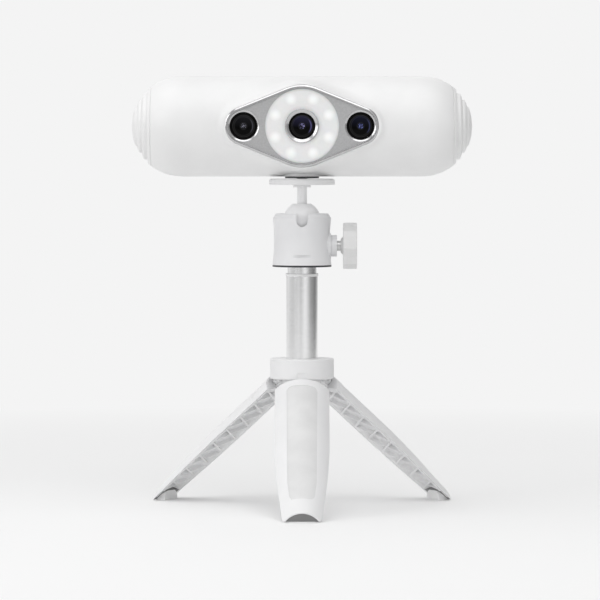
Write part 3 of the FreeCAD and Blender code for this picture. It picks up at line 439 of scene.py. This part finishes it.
MATERIAL_OF = {
    "front_shell": "body", "rear_shell": "body", "end_cap_left": "body", "end_cap_right": "body",
    "face_rim": "rim", "face_plate": "face", "lens_bezel_left": "bezel", "lens_bezel_right": "bezel",
    "lens_bezel_centre": "bezel", "lens_glass_left": "lens_left", "lens_glass_right": "lens_right",
    "lens_glass_centre": "lens_centre", "camera_barrel_left": "barrel", "camera_barrel_right": "barrel",
    "projector_barrel": "barrel", "ring_light_diffuser": "diffuser", "ring_light_board": "board",
    "ring_light_leds": "led", "optical_bench": "sheet", "heat_spreader": "sheet", "main_board": "board",
    "scan_button": "frame", "usb_c_socket": "steel", "port_board": "board", "tripod_socket": "socket",
    "shell_screws": "steel", "plate_pad": "foot", "top_plate": "leg", "camera_screw": "steel",
    "ball_stem": "ball", "ball_housing": "head", "ball_seat": "frame", "base_gasket": "gasket",
    "base_screw": "steel", "clamp_collar": "head", "clamp_screw": "steel", "clamp_knob": "knob",
    "upper_tube": "tube", "upper_plug": "frame", "lower_tube": "tube", "tube_ring": "foot",
    "tube_stop": "frame", "hub_collar": "leg", "hub_core": "frame", "hinge_pins": "steel",
}
EDGE_ANGLE = math.radians(38)  # sharpest turn that stays unsoftened
LEG_KINDS = {"shell": "leg", "frame": "frame", "grip": "grip", "foot": "foot", "plug": "plug"}
LEG_EDGES = {"shell": 0.45, "frame": 0.12, "grip": 0.2, "foot": 0.7, "plug": 0.25}
SOFT_EDGES = {  # width of the softened edges of the pieces that show, in millimetres
    "face_plate": 0.08, "scan_button": 0.5, "usb_c_socket": 0.08, "tripod_socket": 0.2, "top_plate": 0.1,
    "plate_pad": 0.12, "ball_housing": 0.3, "base_gasket": 0.2, "clamp_collar": 0.3, "tube_ring": 0.25,
    "upper_tube": 0.2, "lower_tube": 0.2, "hub_collar": 0.12, "hub_core": 0.3, "tube_stop": 0.3,
}


def kind_of(node, of_legs, of_others):
    """Looks a node up, by its last word for the pieces of a leg."""
    if node.startswith("leg_"):
        return of_legs[node.split("_")[2]]
    return of_others.get(node)


def finish_cad_nodes(materials):
    """Gives every CAD node its material and softens its moulded or machined edges."""
    for name, item in NODES.items():
        item.data.materials.clear()
        item.data.materials.append(materials[kind_of(name, LEG_KINDS, MATERIAL_OF)])
        weld = item.modifiers.new("weld", "WELD")
        weld.merge_threshold = CAD_MERGE
        width = kind_of(name, LEG_EDGES, SOFT_EDGES)
        if width:
            edge = item.modifiers.new("soft_edges", "BEVEL")
            edge.width = width * MM
            edge.segments = 3
            edge.limit_method = "ANGLE"
            edge.angle_limit = EDGE_ANGLE
            edge.use_clamp_overlap = True
        item.modifiers.new("even_normals", "WEIGHTED_NORMAL").keep_sharp = True


# ------------------------------------------------------------------ mesh building

SHARP_ANGLE = math.radians(32)  # a made mesh shades smoothly across smaller turns
FILLET_POINTS = 5  # across each rounded corner of a profile
ARC_POINTS = 40  # along each arc of the camera face's outline


def make_piece(name, body, material, mesh, node):
    """A finished mesh as a piece that rides on a body and stands for a CAD node."""
    mesh.materials.append(MATERIALS[material])
    mesh.polygons.foreach_set("use_smooth", [True] * len(mesh.polygons))
    mesh.set_sharp_from_angle(angle=SHARP_ANGLE)
    piece = bpy.data.objects.new(name, mesh)
    bpy.context.scene.collection.objects.link(piece)
    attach(piece, body)
    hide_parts(node)


def mesh_of(name, points, faces):
    """Mesh from points in millimetres, with its doubles merged and its normals outwards."""
    mesh = bpy.data.meshes.new(name)
    mesh.from_pydata((np.asarray(points, float) * MM).tolist(), [], faces)
    editing = bmesh.new()
    editing.from_mesh(mesh)
    bmesh.ops.remove_doubles(editing, verts=editing.verts, dist=MERGE)
    bmesh.ops.dissolve_degenerate(editing, edges=editing.edges, dist=MERGE)
    bmesh.ops.recalc_face_normals(editing, faces=editing.faces)
    editing.to_mesh(mesh)
    editing.free()
    return mesh


def rounded(corners, closed):
    """Profile points from (along, out, fillet) corners, each corner rounded by its fillet."""
    points = []
    last = len(corners) - 1
    for index, (along, out, fillet) in enumerate(corners):
        here = np.array((along, out))
        if not fillet or (not closed and index in (0, last)):
            points.append(here)
            continue
        before = np.array(corners[index - 1][:2]) - here
        after = np.array(corners[(index + 1) % len(corners)][:2]) - here
        reach = min(fillet, 0.48 * np.hypot(*before), 0.48 * np.hypot(*after))
        start = here + before / np.hypot(*before) * reach
        end = here + after / np.hypot(*after) * reach
        for share in np.linspace(0, 1, FILLET_POINTS):
            points.append((1 - share) ** 2 * start + 2 * share * (1 - share) * here + share**2 * end)
    return points


def grid_faces(rows, columns, wrap_rows, wrap_columns):
    """Quads over a grid of points, joined round in either direction."""
    faces = []
    for row in range(rows if wrap_rows else rows - 1):
        for column in range(columns if wrap_columns else columns - 1):
            below, beside = (row + 1) % rows, (column + 1) % columns
            near, far = row * columns, below * columns
            faces.append((near + column, near + beside, far + beside, far + column))
    return faces


def turned(name, corners, origin, axis, closed=False, segments=96, swell=None):
    """Mesh of revolution from (along, radius, fillet) corners; swell changes the radius with the angle."""
    profile = rounded(corners, closed)
    axis = Vector(axis)
    side = axis.orthogonal().normalized() if abs(axis.z) > 0.5 else axis.cross(Z_AXIS).normalized()
    up = axis.cross(side)
    points = []
    for along, out in profile:
        for index in range(segments):
            angle = 2 * math.pi * index / segments
            reach = out * (swell(angle, out) if swell else 1.0)
            outwards = side * (reach * math.cos(angle)) + up * (reach * math.sin(angle))
            points.append(Vector(origin) + axis * along + outwards)
    return mesh_of(name, points, grid_faces(len(profile), segments, closed, True))


def lozenge_points(offset):
    """Outline of the camera face grown by an offset, as (x, z) about the body's axis."""
    lean = math.acos((FACE_R - FACE_END_R) / LENS_SPACING)
    arcs = [
        (LENS_SPACING, FACE_END_R, -lean, lean),
        (0.0, FACE_R, lean, math.pi - lean),
        (-LENS_SPACING, FACE_END_R, math.pi - lean, math.pi + lean),
        (0.0, FACE_R, math.pi + lean, 2 * math.pi - lean),
    ]
    outline = []
    for centre, radius, start, end in arcs:
        for angle in np.linspace(start, end, ARC_POINTS):
            out = radius + offset
            outline.append((centre + out * math.cos(angle), out * math.sin(angle)))
    return outline


def around_face(name, corners):
    """Mesh swept round the camera face's outline from (depth, offset, fillet) corners."""
    points = []
    profile = rounded(corners, True)
    for depth, offset in profile:
        points += [(x, depth, BODY_Z + z) for x, z in lozenge_points(offset)]
    return mesh_of(name, points, grid_faces(len(profile), len(lozenge_points(0)), True, True))


def carved(name, mesh, cutters):
    """The mesh less its cutters, all closed, with no material yet."""
    target = bpy.data.objects.new(name, mesh)
    bpy.context.scene.collection.objects.link(target)
    tools = []
    for cutter in cutters:
        tool = bpy.data.objects.new("tool", cutter)
        bpy.context.scene.collection.objects.link(tool)
        cut = target.modifiers.new("cut", "BOOLEAN")
        cut.operation = "DIFFERENCE"
        cut.solver = "EXACT"
        cut.object = tool
        tools.append(tool)
    result = bpy.data.meshes.new_from_object(target.evaluated_get(bpy.context.evaluated_depsgraph_get()))
    for item in [target] + tools:
        bpy.data.objects.remove(item, do_unlink=True)
    result.materials.clear()
    return result


# ------------------------------------------------------------------ scanner body

def outline_distance(x, z):
    """Signed distance in the face's plane from its outline, for arrays of x and z."""
    lean = (FACE_R - FACE_END_R) / LENS_SPACING
    rise = math.sqrt(1 - lean**2)
    across, along = np.abs(z), np.abs(x)
    step = -across * lean + along * rise
    distance = across * rise + along * lean - FACE_R
    distance = np.where(step < 0, np.hypot(across, along) - FACE_R, distance)
    end = np.hypot(across, along - LENS_SPACING) - FACE_END_R
    return np.where(step > rise * LENS_SPACING, end, distance)


def smooth_least(first, second, soft):
    """The smaller of two fields, blended where they are within a soft distance of each other."""
    mix = np.clip(0.5 + 0.5 * (second - first) / soft, 0, 1)
    return second * (1 - mix) + first * mix - soft * mix * (1 - mix)


def front_form(x, y, z):
    """Below zero inside the body with its blended camera land."""
    radius = np.sqrt(np.maximum(BODY_R**2 - np.maximum(np.abs(x) - DOME_X, 0) ** 2, 0))
    tube = np.hypot(y, z) - radius
    depths, offsets = zip(*FLARE)
    side = (outline_distance(x, z) - np.interp(y, depths, offsets)) * FLARE_LEAN
    land = -smooth_least(-side, -(LAND_Y - y), LAND_EDGE)
    soft = np.interp(y, *zip(*BLEND))
    return np.where(y < 0, smooth_least(tube, land, soft), tube)


NEAREST, FURTHEST, HALVINGS = 10.0, 60.0, 34  # where the surface is looked for, and how many times halved


def surface(xs, turns):
    """Distance from the body's axis to the form's surface, for each x and angle from +Y."""
    x = xs[:, None] + 0 * turns
    low, high = np.full_like(turns, NEAREST), np.full_like(turns, FURTHEST)
    for _ in range(HALVINGS):
        middle = (low + high) / 2
        outside = front_form(x, middle * np.cos(turns), middle * np.sin(turns)) > 0
        high, low = np.where(outside, middle, high), np.where(outside, low, middle)
    return high


FINE_HALF, FINE_STEP = 55.5, 0.75  # the stretch of the shell with the camera land, and its grid's step
EDGE_DROPS = (([0, -1], 0.3), ([1, -2], 0.06))  # grid lines along the shell's edges, and how far they sink


def front_shell_mesh():
    """Closed half shell: an outer and an inner grid joined at the seams."""
    fine = np.arange(-FINE_HALF, FINE_HALF + 0.01, FINE_STEP)
    side = np.concatenate((np.arange(58.0, CAP_X - 0.6, 3.0), (CAP_X - 0.5, CAP_X - 0.22, CAP_X)))
    xs = np.concatenate((-side[::-1], fine, side))
    radius = np.sqrt(BODY_R**2 - np.maximum(np.abs(xs) - DOME_X, 0) ** 2)
    seam = np.arccos(SEAM_Y / radius)
    share = np.concatenate(((0.0, 0.0012, 0.003), np.linspace(0.008, 0.992, 250), (0.997, 0.9988, 1.0)))
    turns = seam[:, None] + (2 * math.pi - 2 * seam[:, None]) * share[None, :]
    outer = surface(xs, turns)
    edge = np.zeros_like(outer)
    for lines, drop in EDGE_DROPS:
        edge[:, lines] = drop
    for lines, drop in EDGE_DROPS:
        edge[lines, :] = np.maximum(edge[lines, :], drop)
    outer = outer - edge
    inner_r = np.sqrt((BODY_R - WALL) ** 2 - np.maximum(np.abs(xs) - DOME_X, 0) ** 2)[:, None] + 0 * turns
    inner_turns = np.arccos(SEAM_Y / inner_r[:, :1])
    inner_turns = inner_turns + (2 * math.pi - 2 * inner_turns) * share[None, :]
    x = xs[:, None] + 0 * turns
    outside = np.stack((x, outer * np.cos(turns), BODY_Z + outer * np.sin(turns)), -1)
    y = np.maximum(inner_r * np.cos(inner_turns), POCKET_Y + 2.0)
    inside = np.stack((x, y, BODY_Z + inner_r * np.sin(inner_turns)), -1)
    rows, columns = turns.shape
    points = np.concatenate((outside.reshape(-1, 3), inside.reshape(-1, 3)))
    skin = grid_faces(rows, columns, False, False)
    shift = rows * columns
    faces = skin + [tuple(shift + corner for corner in reversed(face)) for face in skin]
    border = [row * columns for row in range(rows)]
    border += [(rows - 1) * columns + column for column in range(1, columns)]
    border += [row * columns + columns - 1 for row in range(rows - 2, -1, -1)]
    border += list(range(columns - 2, 0, -1))
    for here, there in zip(border, border[1:] + border[:1]):
        faces.append((here, there, there + shift, here + shift))
    return mesh_of("front_shell_skin", points, faces)


def plug_mesh(radius, low, high, origin, axis):
    return turned("plug", [(low, 0, 0), (low, radius, 0), (high, radius, 0), (high, 0, 0)], origin, axis)


def lozenge_bar(offset, back, front):
    """Closed prism on the face's outline."""
    outline = lozenge_points(offset)
    count = len(outline)
    points = [(x, y, BODY_Z + z) for y in (back, front) for x, z in outline]
    ends = [tuple(range(count)), tuple(range(2 * count - 1, count - 1, -1))]
    faces = grid_faces(2, count, False, True) + ends
    return mesh_of("bar", points, faces)


def build_front_shell():
    pocket = (-POCKET_Y - 6, -POCKET_Y + 1)  # how far forward the openings behind the plate start and end
    cutters = [lozenge_bar(-RIM_WIDTH + 0.02, POCKET_Y, POCKET_Y - 8)]
    cutters.append(plug_mesh(LIGHT_R - 0.8, *pocket, (0, 0, BODY_Z), FORWARD))
    for x in (-LENS_SPACING, LENS_SPACING):
        cutters.append(plug_mesh(SIDE_LENS_R, *pocket, (x, 0, BODY_Z), FORWARD))
    socket_low, socket_high = (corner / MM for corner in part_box("tripod_socket"))
    depth = socket_high.z - socket_low.z
    cutters.append(plug_mesh(SOCKET_HOLE_R, 0, depth, (0, 0, socket_low.z), (0, 0, 1)))
    mesh = carved("front_shell_cut", front_shell_mesh(), cutters)
    make_piece("front_shell_moulding", "scanner", "body", mesh, "front_shell")
    build_socket_land()


def build_socket_land():
    """The front shell's part of the round flat land around the tripod socket."""
    low = BODY_Z - BODY_R
    inner = LAND_HOLE_R
    profile = [(0.0, inner, 0.1), (0.0, LAND_R, 0.35), (LAND_RISE, LAND_R, 0), (LAND_RISE, inner, 0)]
    land = turned("socket_land", profile, (0, 0, low), (0, 0, 1), closed=True, segments=128)
    corners = [(x, y, z) for x in (-20, 20) for y in (SEAM_Y, 30) for z in (low - 5, low + 10)]
    faces = [(0, 1, 3, 2), (4, 6, 7, 5), (0, 4, 5, 1), (2, 3, 7, 6), (0, 2, 6, 4), (1, 5, 7, 3)]
    mesh = carved("socket_land_cut", land, [mesh_of("behind_the_seam", corners, faces)])
    make_piece("front_shell_socket_land", "scanner", "body", mesh, "front_shell")


def build_end_caps():
    """Stepped caps: three discs with rolled edges and fine grooves between them."""
    steps = [
        (-3.5, 15.0, 0.2), (-3.5, 21.0, 0.3), (0.0, 21.0, 0), (0.0, 23.45, 0.1), (0.2, 23.68, 0.1),
        (1.9, 22.18, 0.35), (1.9, 19.8, 0.15), (4.3, 19.8, 0.7), (5.2, 17.9, 0.6), (5.5, 15.9, 0.1),
        (7.0, 15.8, 0.7), (8.1, 13.6, 0.6), (8.4, 12.2, 0.1), (9.6, 11.3, 0.6), (11.0, 7.0, 2.5),
        (11.7, 0, 0),
    ]
    for side, word in ((-1, "left"), (1, "right")):
        profile = [(3.0, 0, 0), (3.0, 15.0, 0.2)] + steps
        mesh = turned("end_cap", profile, (side * CAP_X, 0, BODY_Z), (side, 0, 0), segments=160)
        make_piece(f"end_cap_{word}_moulding", "scanner", "body", mesh, f"end_cap_{word}")


def build_rim():
    """Rolled rim around the camera face."""
    profile = [
        (LAND_Y, -0.05, 0), (LAND_Y - 0.5, -0.32, 0.12), (RIM_FRONT, -1.15, 0.25),
        (RIM_FRONT, -1.95, 0.12), (PLATE_FRONT - 0.02, -RIM_WIDTH, 0), (LAND_Y, -RIM_WIDTH, 0),
    ]
    mesh = around_face("face_rim_ring", profile)
    make_piece("face_rim_rolled", "scanner", "rim", mesh, "face_rim")


def build_bezel(x, word, inner, glass_back):
    """Metal ring with a conical mouth; the projector's has a lip and a deeper mouth."""
    low, high = (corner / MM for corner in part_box(f"lens_bezel_{word}"))
    outer, front, back = (high.x - low.x) / 2, -low.y, -high.y
    mouth = [(front - 0.25, outer - 0.85, 0.1)] if word == "centre" else []
    drop = 0.95 if word == "centre" else 0.55
    profile = [
        (back, inner, 0), (back, outer, 0.05), (front - 0.05, outer, 0.1), (front, outer - 0.15, 0.06),
        *mouth, (front - drop, inner + 0.06, 0.1), (glass_back + 0.6, inner, 0.05),
    ]
    mesh = turned("bezel_ring", profile, (x, 0, BODY_Z), FORWARD, closed=True, segments=128)
    make_piece(f"lens_bezel_{word}_turned", "scanner", "bezel", mesh, f"lens_bezel_{word}")


DOME_HEIGHT = 0.84


def build_lens(x, word, outer, back):
    """Glass with stepped retaining rings around a dome."""
    profile = [
        (back, 0, 0), (back, outer, 0.05), (back + 0.62, outer, 0.1), (back + 0.62, outer - 0.55, 0.08),
        (back + 0.38, outer - 0.75, 0.08), (back + 0.38, outer - 1.15, 0.06),
        (back + 0.28, outer - 1.3, 0.04),
    ]
    dome_r = outer - 1.35
    for share in np.linspace(1.0, 0.0, 16):
        height = DOME_HEIGHT * math.sqrt(1 - (share * 0.995) ** 2)
        profile.append((back + 0.25 + height, dome_r * share, 0))
    mesh = turned("lens_body", profile, (x, 0, BODY_Z), FORWARD, segments=128)
    make_piece(f"lens_{word}_domed", "scanner", f"lens_{word}", mesh, f"lens_glass_{word}")


def build_lit_ring():
    """Milky ring over the eight lights, around the projector's bezel."""
    inner = (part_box("lens_bezel_centre")[1].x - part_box("lens_bezel_centre")[0].x) / 2 / MM
    back, front = -POCKET_Y, -PLATE_FRONT
    profile = [
        (back, inner, 0), (back, LIGHT_R, 0.05), (front - 0.12, LIGHT_R, 0.15),
        (front, LIGHT_R - 0.7, 0.4), (front, inner + 0.5, 0.4), (front - 0.1, inner, 0.1),
    ]
    mesh = turned("lit_ring", profile, (0, 0, BODY_Z), FORWARD, closed=True, segments=160)
    make_piece("ring_light_moulding", "scanner", "diffuser", mesh, "ring_light_diffuser")


def build_face():
    """Rolled rim, bezels, domed lenses and the lit ring."""
    build_rim()
    for x, word in ((-LENS_SPACING, "left"), (0.0, "centre"), (LENS_SPACING, "right")):
        glass_low, glass_high = (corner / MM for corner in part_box(f"lens_glass_{word}"))
        glass_r, glass_back = (glass_high.x - glass_low.x) / 2, -glass_high.y
        build_bezel(x, word, glass_r, glass_back)
        build_lens(x, word, glass_r, glass_back)
    build_lit_ring()


# ------------------------------------------------------------------ head

KNOB_LEAD = math.radians(4.9)  # one lobe, round from the side of the knob
KNOB_LOBES = 8
KNOB_R = 14.0
LOBE_DEPTH = 0.085  # share of the radius lost between lobes


def build_knob():
    """Eight-lobed clamp knob with a dished end and a flared neck."""
    low, high = (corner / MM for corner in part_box("clamp_knob"))
    length = high.x - low.x
    middle = (low.z + high.z) / 2

    def lobes(angle, out):
        share = min(1.0, out / KNOB_R) ** 6
        turn = (angle - KNOB_LEAD) * KNOB_LOBES / (2 * math.pi)
        off = abs(turn - round(turn)) * 2
        return 1 - share * LOBE_DEPTH * min(1.0, off) ** 0.7

    profile = [
        (1.5, 0, 0), (1.5, 3.1, 0), (0.0, 3.2, 0.2), (0.0, 4.0, 0.2), (1.5, 5.6, 0.4),
        (1.5, KNOB_R - 0.4, 0.2), (1.8, KNOB_R, 0.25),
        (length - 0.3, KNOB_R, 0.25), (length, KNOB_R - 0.4, 0.2), (length, 10.4, 0.3),
        (length - 0.5, 9.9, 0.3), (length - 0.5, 0, 0),
    ]
    mesh = turned("knob_body", profile, (low.x, 0, middle), (1, 0, 0), segments=240, swell=lobes)
    make_piece("clamp_knob_moulding", "clamp", "knob", mesh, "clamp_knob")


def build_floor():
    """Floor and backdrop in one sweep; beyond the object's reach it glows evenly like a lit backdrop."""
    half, front, depth, rise, bend = 1.5, -3.2, 4.0, 4.0, 1.0
    profile = [(y, 0.0) for y in np.linspace(front, depth - bend, 16)]
    for angle in np.linspace(0, math.pi / 2, 25)[1:]:
        profile.append((depth - bend + bend * math.sin(angle), bend - bend * math.cos(angle)))
    profile.append((depth, rise))
    points = [(x / MM, y / MM, z / MM) for y, z in profile for x in (-half, half)]
    mesh = mesh_of("floor", points, grid_faces(len(profile), 2, False, False))
    mesh.polygons.foreach_set("use_smooth", [True] * len(mesh.polygons))
    floor = bpy.data.objects.new("floor", mesh)
    bpy.context.scene.collection.objects.link(floor)
    mesh.materials.append(MATERIALS["floor"])


set_camera()
set_studio()
MATERIALS = build_materials()
finish_cad_nodes(MATERIALS)
build_front_shell()
build_end_caps()
build_face()
build_knob()
build_floor()
